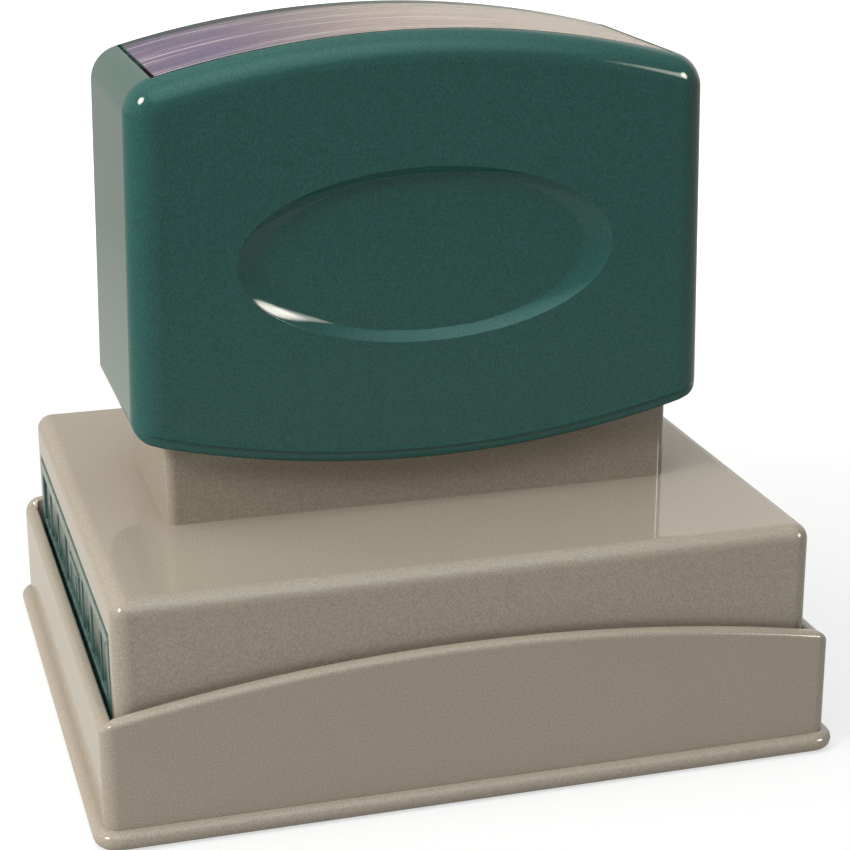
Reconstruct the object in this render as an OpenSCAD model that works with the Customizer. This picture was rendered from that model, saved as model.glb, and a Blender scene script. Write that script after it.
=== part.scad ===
// Pre-inked message stamp standing in its dust cap.
// Millimetres, +Z up, +X along the long side, the front with the oval recess faces -Y.
// The origin is in the middle of the cap's underside.

/* [Casing] */
// Length of the casing's box
case_l = 82.4; // [76:0.2:100]
// Width of the casing's box
case_w = 69.4; // [60:0.2:85]
// Height of the casing's box, from its rim to its top plate
case_h = 23.8; // [22:0.2:30]
// Wall of the casing
case_wall = 1.6; // [1.4:0.1:2.2]
// Thickness of the casing's top plate
case_roof = 1.8; // [1.6:0.1:2.4]
// Radius of the casing's outer edges
case_edge_r = 2; // [1:0.1:2.2]
// Post left at each side of an end window
window_post = 3.4; // [2.8:0.1:8]
// Distance from the top plate down to an end window
window_drop = 4.95; // [4:0.05:7]
// Height of the sill under an end window
window_sill = 5; // [3:0.1:6]

/* [Neck] */
// Length of the neck that rises into the handle
neck_l = 61.8; // [56:0.2:68]
// Width of the neck
neck_w = 26.2; // [24:0.2:34]
// Height of the neck above the top plate
neck_h = 18; // [14:0.5:22]
// Wall of the neck
neck_wall = 1.6; // [1.2:0.1:2]
// Radius of the neck's upright edges
neck_edge_r = 1.2; // [0.6:0.1:2]
// Height of the collar that guides the stem
guide_h = 10; // [6:0.5:13]
// Wall of that collar
guide_wall = 1.6; // [1.2:0.1:2]

/* [Cap] */
// Free room between the casing and the cap's walls
cap_gap = 0.5; // [0.3:0.05:0.8]
// Wall of the cap
cap_wall = 1.6; // [1.2:0.1:2.2]
// Thickness of the cap's floor
cap_floor = 1.8; // [1.2:0.1:2.6]
// Height of the ledge that the casing's rim stands on, above the floor
ledge_h = 2.4; // [1.6:0.1:3.2]
// How far that ledge reaches in from the walls
ledge_w = 2; // [1.6:0.1:2.6]
// Height of the cap's end walls
cap_end_h = 14.25; // [12:0.25:16]
// Height of the cap's long walls at their corners
cap_corner_h = 14.85; // [12:0.05:17]
// Rise of the long walls' arch in the middle
cap_arch = 4.25; // [2:0.05:6]
// Radius of the cap's upright edges
cap_edge_r = 1.7; // [1:0.1:2.4]
// Thickness of the foot flange, which has a half-round edge
flange_t = 2.2; // [1.6:0.1:2.8]
// How far the flange stands out from the walls
flange_lip = 1.2; // [0.8:0.1:2]

/* [Handle] */
// Free room between the neck and the handle, at each end
handle_gap_l = 1.4; // [0.8:0.05:2]
// Free room between the neck and the handle, front and back
handle_gap_w = 0.7; // [0.5:0.05:1.5]
// Wall of the handle's ends
handle_end_wall = 2.7; // [2:0.1:3.4]
// Wall of the handle's front and back
handle_wall = 1.7; // [1.4:0.1:2.4]
// Wall of the handle's top, under its highest line
handle_top_wall = 3.6; // [3.2:0.1:4.5]
// Height of the handle's lowest line above the top plate
handle_lift = 6.25; // [5:0.05:9]
// Height of the handle in its middle
handle_h = 50.35; // [42:0.05:58]
// Rise of the top's arch
handle_crown = 5.25; // [2:0.05:6]
// Rise of the lower edge's arch
handle_belly = 5; // [2:0.05:6]
// Lean of the handle's ends, in degrees
handle_draft = 1.1; // [0:0.1:3]
// Radius of the handle's upright and top edges
handle_edge_r = 3.5; // [2:0.1:4]
// Radius of the top corners, seen from the front
handle_top_r = 4.2; // [3:0.1:6]
// Radius of the lower corners, seen from the front
handle_foot_r = 1.8; // [1.2:0.1:4]
// Height of the strip along the lower edge
strip_h = 1.2; // [0.8:0.1:2]
// How far that strip is set back
strip_step = 0.2; // [0.1:0.05:0.4]
// Length of the oval recess
oval_l = 45.2; // [30:0.2:54]
// Height of the oval recess
oval_w = 20.8; // [12:0.1:26]
// Height of the oval's centre above the handle's lowest line
oval_up = 24.8; // [20:0.1:28]
// Depth of the oval recess
oval_depth = 1; // [0.4:0.1:1.2]
// Width of the oval's sloping wall at its ends
oval_slope_l = 3.6; // [1:0.1:5]
// Width of the oval's sloping wall at its top and bottom
oval_slope_w = 1.2; // [0.6:0.1:2.5]
// Thickness of the ribs in the handle's core
core_rib = 1.8; // [1.4:0.1:2.6]
// Distance of the long ribs from the middle
core_rib_y = 7; // [6:0.1:8.5]
// Distance of the cross ribs from the middle
core_rib_x = 14; // [12.5:0.5:20]

/* [Index] */
// Margin between the index cover and the handle's end
index_margin_l = 3.3; // [2:0.1:6]
// Margin between the index cover and the handle's side
index_margin_w = 3.05; // [2.8:0.05:6]
// Thickness of the clear cover
cover_t = 1; // [0.6:0.1:1.2]
// Thickness of the paper label
label_t = 0.2; // [0.1:0.05:0.3]
// How far the cover lies below the handle's top
cover_sink = 0.05; // [0:0.05:0.4]
// Free room round the cover
cover_gap = 0.15; // [0.1:0.05:0.3]

/* [Carriage] */
// Travel of the press
press_travel = 3; // [2:0.1:3.5]
// Free room round the holder, inside the casing
slide_gap = 0.4; // [0.3:0.05:0.6]
// Free room between the holder's top and the casing's top plate
stop_gap = 0.3; // [0.2:0.05:0.5]
// Wall of the die holder
holder_wall = 1.6; // [1.2:0.1:2.2]
// Thickness of the holder's plate
plate_t = 2; // [1.6:0.1:2.6]
// Height of the ribs on that plate
plate_rib_h = 3.6; // [2:0.1:4.4]
// How far the panel in a window stands out of the holder's end wall
panel_out = 1.2; // [0.8:0.1:1.5]
// How far the border round that panel stands out of the panel
border_out = 0.5; // [0.3:0.1:0.7]
// Width of that border
border_w = 1.8; // [1:0.1:2.6]
// Length of the stem
stem_l = 26; // [24:0.2:28]
// Width of the stem
stem_w = 12; // [10:0.2:14]
// Free room round the stem in its guide
stem_gap = 0.3; // [0.2:0.05:0.5]
// How far the stem's foot reaches out round it
foot_out = 4; // [2:0.2:5]
// Thickness of the stem's foot
foot_t = 2; // [1.4:0.1:2.6]
// Radius of the ink channel in the stem
ink_r = 2.8; // [2:0.1:3.4]
// Thickness of the yoke
yoke_t = 2.5; // [2:0.1:3.5]
// Width of the yoke
yoke_w = 20; // [18:0.2:22]
// Distance of the yoke screws from the middle
screw_x = 8.6; // [8:0.1:9.6]
// Radius of a yoke screw's thread
screw_r = 1.3; // [1:0.05:1.5]
// Length of a yoke screw under its head
screw_l = 10; // [7:0.5:14]
// Radius of a yoke screw's head
screw_head_r = 2.5; // [2:0.1:2.8]
// Height of a yoke screw's head
screw_head_h = 1.5; // [1.2:0.1:2]

/* [Ink and die] */
// Thickness of the ink felt
felt_t = 5; // [3:0.1:5.5]
// Thickness of the die's edge
die_edge_t = 2.5; // [1.6:0.1:3]
// How far the die's edge reaches out under the frame
die_edge_w = 2.2; // [1.4:0.1:3]
// Thickness of the die frame
frame_t = 1.3; // [1:0.1:1.8]
// How far the die's base stands out of its frame
die_stand = 0.3; // [0.2:0.05:0.6]
// Height of the die's raised print
print_h = 0.5; // [0.3:0.05:0.8]
// Width of the border on the print
print_border = 1.2; // [0.8:0.1:2]
// Number of printed lines
print_rows = 6; // [4:1:8]

/* [Springs] */
// Mean radius of a return spring
spring_r = 4.4; // [4:0.1:4.8]
// Radius of the spring's wire
wire_r = 0.5; // [0.35:0.05:0.6]
// Turns of a return spring
spring_turns = 8; // [6:1:10]
// Height of the pegs that hold the springs' ends
peg_h = 2.5; // [1.5:0.1:4]

/* [Hidden] */
$fn = 64;

// Small clearances
fit_gap = 0.1;
peg_gap = 0.5;
seat_gap = 0.1;
yoke_gap = 0.5;
window_gap = 0.3;
cut = 1;
blend = 0.02;

// Cap
cap_in_l = case_l + 2 * cap_gap;
cap_in_w = case_w + 2 * cap_gap;
cap_l = cap_in_l + 2 * cap_wall;
cap_w = cap_in_w + 2 * cap_wall;
flange_l = cap_l + 2 * flange_lip;
flange_w = cap_w + 2 * flange_lip;
cap_arch_r = arc_radius(cap_l / 2, cap_arch);
cap_arch_top = cap_corner_h + cap_arch;

// Heights of the casing
case_rim_z = cap_floor + ledge_h;
case_top_z = case_rim_z + case_h;
roof_z = case_top_z - case_roof;
neck_top_z = case_top_z + neck_h;
window_low_z = case_rim_z + window_sill;
window_top_z = case_top_z - window_drop;
window_w = case_w - 2 * window_post;

// Carriage
holder_l = case_l - 2 * (case_wall + slide_gap);
holder_w = case_w - 2 * (case_wall + slide_gap);
pan_l = holder_l - 2 * holder_wall;
pan_w = holder_w - 2 * holder_wall;
holder_top_z = roof_z - stop_gap;
print_z = case_rim_z + press_travel;
die_low_z = print_z + print_h;
frame_low_z = die_low_z + die_stand;
die_edge_z = frame_low_z + frame_t;
felt_z = die_edge_z + die_edge_t;
plate_z = felt_z + felt_t;
plate_top_z = plate_z + plate_t;
foot_l = stem_l + 2 * foot_out;
foot_w = stem_w + 2 * foot_out;
yoke_z = neck_top_z + press_travel + yoke_gap;
yoke_top_z = yoke_z + yoke_t;
yoke_l = neck_l - 2 * neck_wall;
yoke_corner_r = 3;
plug_head_r = ink_r + 1.6;
plug_head_h = 1.2;
plug_l = 6;
pilot_r = screw_r - 0.2;
pilot_extra = 1;
border_low_z = window_low_z + press_travel + window_gap;
border_top_z = window_top_z - window_gap;
border_l = window_w - 2 * window_gap;
rib_count = 3;
rib_w = 0.8;
catch_w = 9;
catch_h = 4;

// Die
die_l = pan_l - 2 * fit_gap;
die_w = pan_w - 2 * fit_gap;
boss_l = die_l - 2 * die_edge_w;
boss_w = die_w - 2 * die_edge_w;
line_gap = 3;

// Springs stand midway between the stem's collar and the neck's end
collar_l = stem_l + 2 * (stem_gap + guide_wall);
collar_w = stem_w + 2 * (stem_gap + guide_wall);
spring_x = (collar_l / 2 + neck_l / 2 - neck_wall) / 2;
peg_r = spring_r - wire_r - peg_gap;
spring_gap = 0.05;
wire_sides = 6;
rings_per_turn = 8;

// Handle
handle_in_l = neck_l + 2 * handle_gap_l;
handle_in_w = neck_w + 2 * handle_gap_w;
handle_l = handle_in_l + 2 * handle_end_wall;
handle_w = handle_in_w + 2 * handle_wall;
handle_low_z = case_top_z + handle_lift;
handle_foot_z = handle_low_z + handle_belly;
handle_top_z = handle_low_z + handle_h;
crown_r = arc_radius(handle_l / 2, handle_crown);
crown_z = handle_top_z - crown_r;
belly_r = arc_radius(handle_l / 2, handle_belly);
belly_z = handle_low_z + belly_r;
shoulder_half_l = handle_l / 2 - (handle_top_z - handle_foot_z) * tan(handle_draft);
core_foot_z = yoke_top_z + seat_gap;
core_grip_gap = 0.2;

// Index strip on the crown
cover_l = 2 * (shoulder_half_l - index_margin_l);
cover_w = handle_w - 2 * index_margin_w;
cover_r = crown_r - cover_sink;
label_gap = 0.05;
label_r = cover_r - cover_t - label_gap;
recess_r = label_r - label_t;

// Radius of an arc with this rise over this half chord
function arc_radius(half, rise) = (half * half + rise * rise) / (2 * rise);

// Point on a circle round a centre
function on_circle(centre, r, angle) = centre + r * [cos(angle), sin(angle)];

// Outward normal and direction of the handle's right end, seen from the front
end_out = [cos(handle_draft), sin(handle_draft)];
end_up = [-sin(handle_draft), cos(handle_draft)];

// Centre of a corner circle that touches the handle's right end from inside and an arch from inside
function corner_centre(r, arch_r, arch_z, side) =
    let (
        from = [handle_l / 2, handle_foot_z] - r * end_out - [0, arch_z],
        along = from * end_up,
        reach = arch_r - r + blend
    )
    [handle_l / 2, handle_foot_z] - r * end_out
        + end_up * (-along + side * sqrt(along * along - from * from + reach * reach));

// Points of the handle's right corner arcs, from the bottom up
corner_steps = 12;
foot_centre = corner_centre(handle_foot_r, belly_r, belly_z, -1);
shoulder_centre = corner_centre(handle_top_r, crown_r, crown_z, 1);
foot_angle = atan2(foot_centre[1] - belly_z, foot_centre[0]);
shoulder_angle = atan2(shoulder_centre[1] - crown_z, shoulder_centre[0]);
foot_arc = [for (i = [0 : corner_steps])
    on_circle(foot_centre, handle_foot_r, foot_angle + (handle_draft - foot_angle) * i / corner_steps)];
shoulder_arc = [for (i = [0 : corner_steps])
    on_circle(shoulder_centre, handle_top_r,
              handle_draft + (shoulder_angle - handle_draft) * i / corner_steps)];
right_side = concat([[0, handle_low_z - handle_h]], foot_arc, shoulder_arc, [[0, handle_top_z + handle_h]]);
left_side = [for (i = [len(right_side) - 2 : -1 : 1]) [-right_side[i][0], right_side[i][1]]];

// Flat rectangle with round corners, centred
module round_rect(l, w, r) {
    square([l - 2 * r, w], center = true);
    square([l, w - 2 * r], center = true);
    for (x = [-1, 1], y = [-1, 1])
        translate([x * (l / 2 - r), y * (w / 2 - r)])
            circle(r);
}

// Upright block with round corners, standing at z = 0
module round_block(l, w, h, r) {
    linear_extrude(h)
        round_rect(l, w, r);
}

// Block standing at height z, centred in plan
module block(l, w, z_low, z_high) {
    translate([-l / 2, -w / 2, z_low])
        cube([l, w, z_high - z_low]);
}

// Box with round upright and top edges, standing at z = 0
module soft_box(l, w, h, r) {
    block(l - 2 * r, w, 0, h - r);
    block(l, w - 2 * r, 0, h - r);
    block(l - 2 * r, w - 2 * r, 0, h);
    for (y = [-1, 1])
        translate([0, y * (w / 2 - r), h - r])
            rotate([0, 90, 0])
                cylinder(r = r, h = l - 2 * r, center = true);
    for (x = [-1, 1])
        translate([x * (l / 2 - r), 0, h - r])
            rotate([90, 0, 0])
                cylinder(r = r, h = w - 2 * r, center = true);
    for (x = [-1, 1], y = [-1, 1])
        translate([x * (l / 2 - r), y * (w / 2 - r), 0]) {
            cylinder(r = r, h = h - r);
            translate([0, 0, h - r])
                sphere(r);
        }
}

// Section across a plate with half-round edges, standing on the axis
module bead_section(w, t) {
    translate([-(w - t) / 2, 0])
        square([w - t, t]);
    for (x = [-1, 1])
        translate([x * (w - t) / 2, t / 2])
            circle(t / 2);
}

// Plate with half-round edges and round corners, standing at z = 0
module bead_plate(l, w, r, t) {
    rotate([90, 0, 90])
        linear_extrude(l - 2 * r, center = true)
            bead_section(w, t);
    rotate([90, 0, 0])
        linear_extrude(w - 2 * r, center = true)
            bead_section(l, t);
    for (x = [-1, 1], y = [-1, 1])
        translate([x * (l / 2 - r), y * (w / 2 - r), 0])
            rotate_extrude()
                intersection() {
                    bead_section(2 * r, t);
                    square([r, t]);
                }
}

// Cylinder lying along Y, centred
module roller(r, w) {
    rotate([90, 0, 0])
        cylinder(r = r, h = w, center = true, $fn = 180);
}

// Dust cap
module base_cap() {
    color("#b3a691") {
        difference() {
            union() {
                bead_plate(flange_l, flange_w, cap_edge_r + flange_lip, flange_t);
                round_block(cap_l, cap_w, cap_end_h, cap_edge_r);
                intersection() {
                    round_block(cap_l, cap_w, 2 * cap_arch_top, cap_edge_r);
                    translate([0, 0, cap_arch_top - cap_arch_r])
                        roller(cap_arch_r, 2 * cap_w);
                    for (y = [-1, 1])
                        translate([0, y * cap_w / 2, 0])
                            block(cap_l + 2 * cut, 2 * (cap_wall + cut), cap_floor, 2 * cap_arch_top);
                }
            }
            block(cap_in_l, cap_in_w, case_rim_z, 3 * cap_arch_top);
            block(cap_l + 2 * cut, cap_in_w, cap_end_h, 3 * cap_arch_top);
            block(cap_in_l - 2 * ledge_w, cap_in_w - 2 * ledge_w, cap_floor, case_rim_z + cut);
        }
    }
}

// Box and neck in one moulding, with end windows, stem guide and spring seats
module casing() {
    color("#b3a691") {
        difference() {
            union() {
                translate([0, 0, case_rim_z])
                    soft_box(case_l, case_w, case_h, case_edge_r);
                translate([0, 0, roof_z])
                    round_block(neck_l, neck_w, neck_top_z - roof_z, neck_edge_r);
            }
            block(case_l - 2 * case_wall, case_w - 2 * case_wall, case_rim_z - cut, roof_z);
            block(case_l + 2 * cut, window_w, window_low_z, window_top_z);
            difference() {
                block(neck_l - 2 * neck_wall, neck_w - 2 * neck_wall, case_top_z, neck_top_z + cut);
                block(collar_l, collar_w, roof_z, case_top_z + guide_h);
                for (x = [-1, 1])
                    translate([x * spring_x, 0, roof_z])
                        cylinder(r = peg_r, h = case_roof + peg_h);
            }
            block(stem_l + 2 * stem_gap, stem_w + 2 * stem_gap, roof_z - cut, neck_top_z);
        }
    }
}

// Wire of a return spring as one swept tube, its points counted from its seat
function spring_centre(i, n) =
    let (angle = 360 * i / rings_per_turn, rise = (yoke_z - case_top_z - 2 * (wire_r + spring_gap)) * i / n)
    [spring_r * cos(angle), spring_r * sin(angle), case_top_z + wire_r + spring_gap + rise];

function spring_ring(i, n) =
    let (angle = 360 * i / rings_per_turn, c = spring_centre(i, n), out = [cos(angle), sin(angle), 0])
    [for (k = [0 : wire_sides - 1])
        c + wire_r * (out * cos(360 * k / wire_sides) + [0, 0, 1] * sin(360 * k / wire_sides))];

module return_spring() {
    n = spring_turns * rings_per_turn;
    s = wire_sides;
    points = [for (i = [0 : n]) each spring_ring(i, n)];
    sides = [for (i = [0 : n - 1], k = [0 : s - 1])
        let (a = i * s + k, b = i * s + (k + 1) % s)
        each [[a, a + s, b], [b, a + s, b + s]]];
    low_end = [for (k = [1 : s - 2]) [0, k, k + 1]];
    high_end = [for (k = [1 : s - 2]) [n * s, n * s + k + 1, n * s + k]];
    turn_gap = min([for (i = [0 : n - rings_per_turn])
        norm(spring_centre(i + rings_per_turn, n) - spring_centre(i, n)) - 2 * wire_r]);
    echo("least gap between the spring's turns", turn_gap);
    color("#c9ccd0")
        polyhedron(points, concat(sides, low_end, high_end));
}

module spring_left() {
    translate([-spring_x, 0, 0])
        return_spring();
}

module spring_right() {
    translate([spring_x, 0, 0])
        return_spring();
}

// Border, ribs and catch on one end wall, as seen in that end's window
module window_trim() {
    rib_step = border_l / (2 * rib_count + 2);
    border_h = border_top_z - border_low_z;
    trim_out = panel_out + border_out;
    translate([holder_l / 2 - cut, 0, (border_low_z + border_top_z) / 2]) {
        difference() {
            translate([0, -border_l / 2, -border_h / 2])
                cube([cut + trim_out, border_l, border_h]);
            translate([cut + panel_out, -border_l / 2 + border_w, -border_h / 2 + border_w])
                cube([trim_out, border_l - 2 * border_w, border_h - 2 * border_w]);
        }
        for (i = [1 : rib_count], side = [-1, 1])
            translate([0, side * i * rib_step - rib_w / 2, -border_h / 2 + border_w / 2])
                cube([cut + panel_out + border_out / 2, rib_w, border_h - border_w]);
        translate([0, -catch_w / 2, -catch_h / 2])
            cube([cut + trim_out, catch_w, catch_h]);
    }
}

// Pan that carries felt and die
module die_holder() {
    rib_x = foot_l / 2 + foot_out;
    rib_y = foot_w / 2 + foot_out;
    color("#4d8a86") {
        difference() {
            block(holder_l, holder_w, frame_low_z, holder_top_z);
            block(pan_l, pan_w, frame_low_z - cut, plate_z);
            difference() {
                block(pan_l, pan_w, plate_top_z, holder_top_z + cut);
                for (x = [-1, 1])
                    translate([x * rib_x, 0, 0])
                        block(holder_wall, pan_w, plate_z, plate_top_z + plate_rib_h);
                for (y = [-1, 1])
                    translate([0, y * rib_y, 0])
                        block(pan_l, holder_wall, plate_z, plate_top_z + plate_rib_h);
            }
            translate([0, 0, plate_z - cut])
                cylinder(r = ink_r, h = plate_t + 2 * cut);
        }
        window_trim();
        mirror([1, 0, 0])
            window_trim();
    }
}

// Post from the holder up to the yoke, with the ink channel and the screw holes
module stem() {
    pilot_h = screw_l - yoke_t + pilot_extra;
    color("#d9d4c8") {
        difference() {
            union() {
                block(foot_l, foot_w, plate_top_z, plate_top_z + foot_t);
                block(stem_l, stem_w, plate_top_z, yoke_z);
            }
            translate([0, 0, plate_top_z - cut])
                cylinder(r = ink_r, h = yoke_z - plate_top_z + 2 * cut);
            for (x = [-1, 1])
                translate([x * screw_x, 0, yoke_z - pilot_h])
                    cylinder(r = pilot_r, h = pilot_h + cut);
        }
    }
}

// Crosshead on the stem, with a peg down into each spring
module yoke() {
    color("#3a3d3f") {
        difference() {
            union() {
                translate([0, 0, yoke_z])
                    round_block(yoke_l, yoke_w, yoke_t, yoke_corner_r);
                for (x = [-1, 1])
                    translate([x * spring_x, 0, yoke_z - peg_h])
                        cylinder(r = peg_r, h = peg_h + yoke_t / 2);
            }
            translate([0, 0, yoke_z - cut])
                cylinder(r = ink_r, h = yoke_t + 2 * cut);
            for (x = [-1, 1])
                translate([x * screw_x, 0, yoke_z - cut])
                    cylinder(r = screw_r + fit_gap, h = yoke_t + 2 * cut);
        }
    }
}

// Pan-head screw with a cross slot, its head on the yoke
module yoke_screw(x) {
    slot_w = 0.5;
    slot_l = 1.4 * screw_head_r;
    slot_deep = screw_head_h / 2;
    translate([x, 0, yoke_top_z])
        color("#b9bcc0") {
            difference() {
                cylinder(r = screw_head_r, h = screw_head_h);
                for (turn = [0, 90])
                    rotate([0, 0, turn])
                        block(slot_l, slot_w, screw_head_h - slot_deep, screw_head_h + cut);
            }
            translate([0, 0, -screw_l])
                cylinder(r = screw_r, h = screw_l + screw_head_h / 4);
        }
}

module yoke_screw_left() {
    yoke_screw(-screw_x);
}

module yoke_screw_right() {
    yoke_screw(screw_x);
}

// Stopper in the top of the ink channel
module ink_plug() {
    color("#2b2b2b") {
        translate([0, 0, yoke_top_z])
            cylinder(r = plug_head_r, h = plug_head_h);
        translate([0, 0, yoke_top_z - plug_l])
            cylinder(r = ink_r - fit_gap, h = plug_l + plug_head_h / 2);
    }
}

// Pad that holds the ink behind the die
module ink_felt() {
    color("#20242c")
        block(die_l, die_w, felt_z, plate_z);
}

// Rubber plate with a border and plain bars as its raised print
module die() {
    field_l = boss_l - 2 * (print_border + line_gap);
    field_w = boss_w - 2 * (print_border + line_gap);
    row_step = field_w / print_rows;
    color("#8c3b34") {
        block(die_l, die_w, die_edge_z, felt_z);
        block(boss_l, boss_w, die_low_z, die_edge_z);
        difference() {
            block(boss_l, boss_w, print_z, die_low_z);
            block(boss_l - 2 * print_border, boss_w - 2 * print_border, print_z - cut, die_low_z);
        }
        for (i = [0 : print_rows - 1])
            translate([0, -field_w / 2 + (i + 0.5) * row_step, 0])
                block(field_l * (i % 2 == 0 ? 1 : 0.7), row_step / 2, print_z, die_low_z);
    }
}

// Ring that clamps the die's edge
module die_frame() {
    color("#3a3d3f")
        difference() {
            block(die_l, die_w, frame_low_z, die_edge_z);
            block(boss_l + 2 * fit_gap, boss_w + 2 * fit_gap, frame_low_z - cut, die_edge_z + cut);
        }
}

// Half-plane in plan whose right end is round-cornered, leaning with the handle's end
module leaning_end() {
    reach = 2 * handle_l;
    r = handle_edge_r;
    translate([handle_l / 2, 0, handle_foot_z])
        rotate([0, -handle_draft, 0])
            translate([0, 0, -handle_h])
                linear_extrude(3 * handle_h) {
                    translate([-reach, -handle_w / 2])
                        square([reach - r, handle_w]);
                    translate([-reach, r - handle_w / 2])
                        square([reach, handle_w - 2 * r]);
                    for (y = [-1, 1])
                        translate([-r, y * (handle_w / 2 - r)])
                            circle(r);
                }
}

// Wheel on the crown's axis with a round rim, which shapes the handle's top
module crown_wheel() {
    r = handle_edge_r;
    translate([0, 0, crown_z])
        rotate([90, 0, 0])
            rotate_extrude($fn = 180) {
                translate([0, -handle_w / 2])
                    square([crown_r - r, handle_w]);
                translate([0, r - handle_w / 2])
                    square([crown_r, handle_w - 2 * r]);
                for (y = [-1, 1])
                    translate([crown_r - r, y * (handle_w / 2 - r)])
                        circle(r, $fn = 64);
            }
}

// Part of the crown between two radii, cut to a length and a width
module crown_strip(low_r, high_r, l, w) {
    intersection() {
        translate([0, 0, crown_z])
            difference() {
                roller(high_r, w);
                roller(low_r, 2 * w);
            }
        block(l, 2 * w, handle_foot_z, handle_top_z + handle_h);
    }
}

// Inside of the handle, open at the bottom
module handle_hollow(inset) {
    top_half_l = handle_in_l / 2 - (handle_top_z - handle_foot_z) * tan(handle_draft) - inset;
    low_half_l = handle_in_l / 2 + (handle_foot_z - handle_low_z) * tan(handle_draft) - inset;
    intersection() {
        rotate([90, 0, 0])
            linear_extrude(handle_in_w - 2 * inset, center = true)
                polygon([[-low_half_l, handle_low_z - cut], [low_half_l, handle_low_z - cut],
                         [top_half_l, handle_top_z], [-top_half_l, handle_top_z]]);
        translate([0, 0, crown_z])
            roller(crown_r - handle_top_wall - inset, 2 * handle_w);
    }
}

// Oval with sloping wall, sunk into the front
module oval_recess() {
    steps = 96;
    slope = [oval_slope_l, oval_slope_w];
    floor_half = [oval_l, oval_w] / 2 - slope;
    mouth_half = [oval_l, oval_w] / 2 + slope * cut / oval_depth;
    points = [for (i = [0 : steps - 1])
        let (angle = 360 * i / steps)
        [floor_half[0] * cos(angle), floor_half[1] * sin(angle)]];
    translate([0, -handle_w / 2 + oval_depth, handle_low_z + oval_up])
        rotate([90, 0, 0])
            linear_extrude(oval_depth + cut, slices = 1,
                           scale = [mouth_half[0] / floor_half[0], mouth_half[1] / floor_half[1]])
                polygon(points);
}

// Grip, hollow from below
module handle_shell() {
    strip_l = handle_l - 2 * handle_foot_r;
    color("#2a504d") {
        difference() {
            intersection() {
                leaning_end();
                mirror([1, 0, 0])
                    leaning_end();
                crown_wheel();
                translate([0, 0, belly_z])
                    roller(belly_r, 2 * handle_w);
                rotate([90, 0, 0])
                    linear_extrude(2 * handle_w, center = true)
                        polygon(concat(right_side, left_side));
            }
            handle_hollow(0);
            crown_strip(recess_r, crown_r + handle_h, cover_l + 2 * cover_gap, cover_w + 2 * cover_gap);
            for (y = [-1, 1])
                intersection() {
                    translate([0, y * handle_w / 2, belly_z])
                        difference() {
                            roller(belly_r + cut, 2 * strip_step);
                            roller(belly_r - strip_h, 4 * strip_step);
                        }
                    block(strip_l, 2 * handle_w, handle_low_z - cut, handle_foot_z + handle_foot_r);
                }
            oval_recess();
        }
    }
}

// Ribbed frame in the handle: long ribs rest on the yoke and grip its ends, cross ribs tie them
module handle_core() {
    color("#2a504d")
        intersection() {
            handle_hollow(fit_gap);
            difference() {
                union() {
                    for (y = [-1, 1])
                        translate([0, y * core_rib_y, 0])
                            block(handle_l, core_rib, yoke_z, handle_top_z);
                    for (x = [-1, 1])
                        translate([x * core_rib_x, 0, 0])
                            block(core_rib, handle_w, core_foot_z, handle_top_z);
                }
                block(yoke_l + 2 * core_grip_gap, handle_w, yoke_z - cut, core_foot_z);
            }
        }
}

// Paper strip under the cover
module index_label() {
    color("#cfc4d6")
        crown_strip(recess_r, label_r, cover_l, cover_w);
}

// Clear strip on the crown
module index_cover() {
    color("#e8e8ea", 0.4)
        crown_strip(label_r + label_gap, cover_r, cover_l, cover_w);
}

base_cap();
casing();
spring_left();
spring_right();
die_holder();
stem();
yoke();
yoke_screw_left();
yoke_screw_right();
ink_plug();
ink_felt();
die();
die_frame();
handle_shell();
handle_core();
index_label();
index_cover();
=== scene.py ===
"""Looks of a pre-inked message stamp that stands in its dust cap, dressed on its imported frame.

Metres, +Z up, +X along the long side; the front with the oval recess faces -Y.
"""
import math

import bmesh
import bpy
from mathutils import Matrix, Vector


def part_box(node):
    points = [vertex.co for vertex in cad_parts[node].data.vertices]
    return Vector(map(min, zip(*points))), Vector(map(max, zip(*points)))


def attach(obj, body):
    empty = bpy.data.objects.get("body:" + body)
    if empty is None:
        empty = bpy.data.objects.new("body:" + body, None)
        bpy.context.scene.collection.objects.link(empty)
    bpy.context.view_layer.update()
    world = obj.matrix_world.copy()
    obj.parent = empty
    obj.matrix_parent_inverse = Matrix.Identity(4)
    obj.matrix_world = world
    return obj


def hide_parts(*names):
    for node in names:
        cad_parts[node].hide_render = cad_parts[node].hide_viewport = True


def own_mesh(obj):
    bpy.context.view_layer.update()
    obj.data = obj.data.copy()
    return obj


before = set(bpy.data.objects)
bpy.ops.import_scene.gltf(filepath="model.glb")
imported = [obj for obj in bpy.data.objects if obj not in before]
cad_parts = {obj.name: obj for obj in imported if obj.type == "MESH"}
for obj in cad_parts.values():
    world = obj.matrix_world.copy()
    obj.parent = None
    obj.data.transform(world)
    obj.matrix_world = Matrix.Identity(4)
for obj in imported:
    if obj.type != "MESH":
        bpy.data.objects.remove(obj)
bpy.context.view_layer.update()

MM = 0.001

# Boxes of the nodes that the pieces stand for
cap_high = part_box("base_cap")[1]
case_low, case_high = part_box("casing")
grip_low, grip_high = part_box("handle_shell")
holder_low, holder_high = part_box("die_holder")
stem_low, stem_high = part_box("stem")
yoke_low, yoke_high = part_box("yoke")
plug_low, plug_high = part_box("ink_plug")
felt_low, felt_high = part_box("ink_felt")
die_low, die_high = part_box("die")
ring_low, ring_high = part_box("die_frame")
cover_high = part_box("index_cover")[1]
label_low, label_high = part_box("index_label")

# Shared by several pieces: walls, fits, how far solids are sunk into each other, small edges
WALL = 1.6 * MM
FIT_GAP = 0.1 * MM
ROOT = 0.2 * MM
SHORT_ROOT = 0.1 * MM
SMALL_R = 0.25 * MM
CRISP_R = 0.2 * MM
FINE_R = 0.15 * MM
LEAST_R = 0.02 * MM

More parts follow.
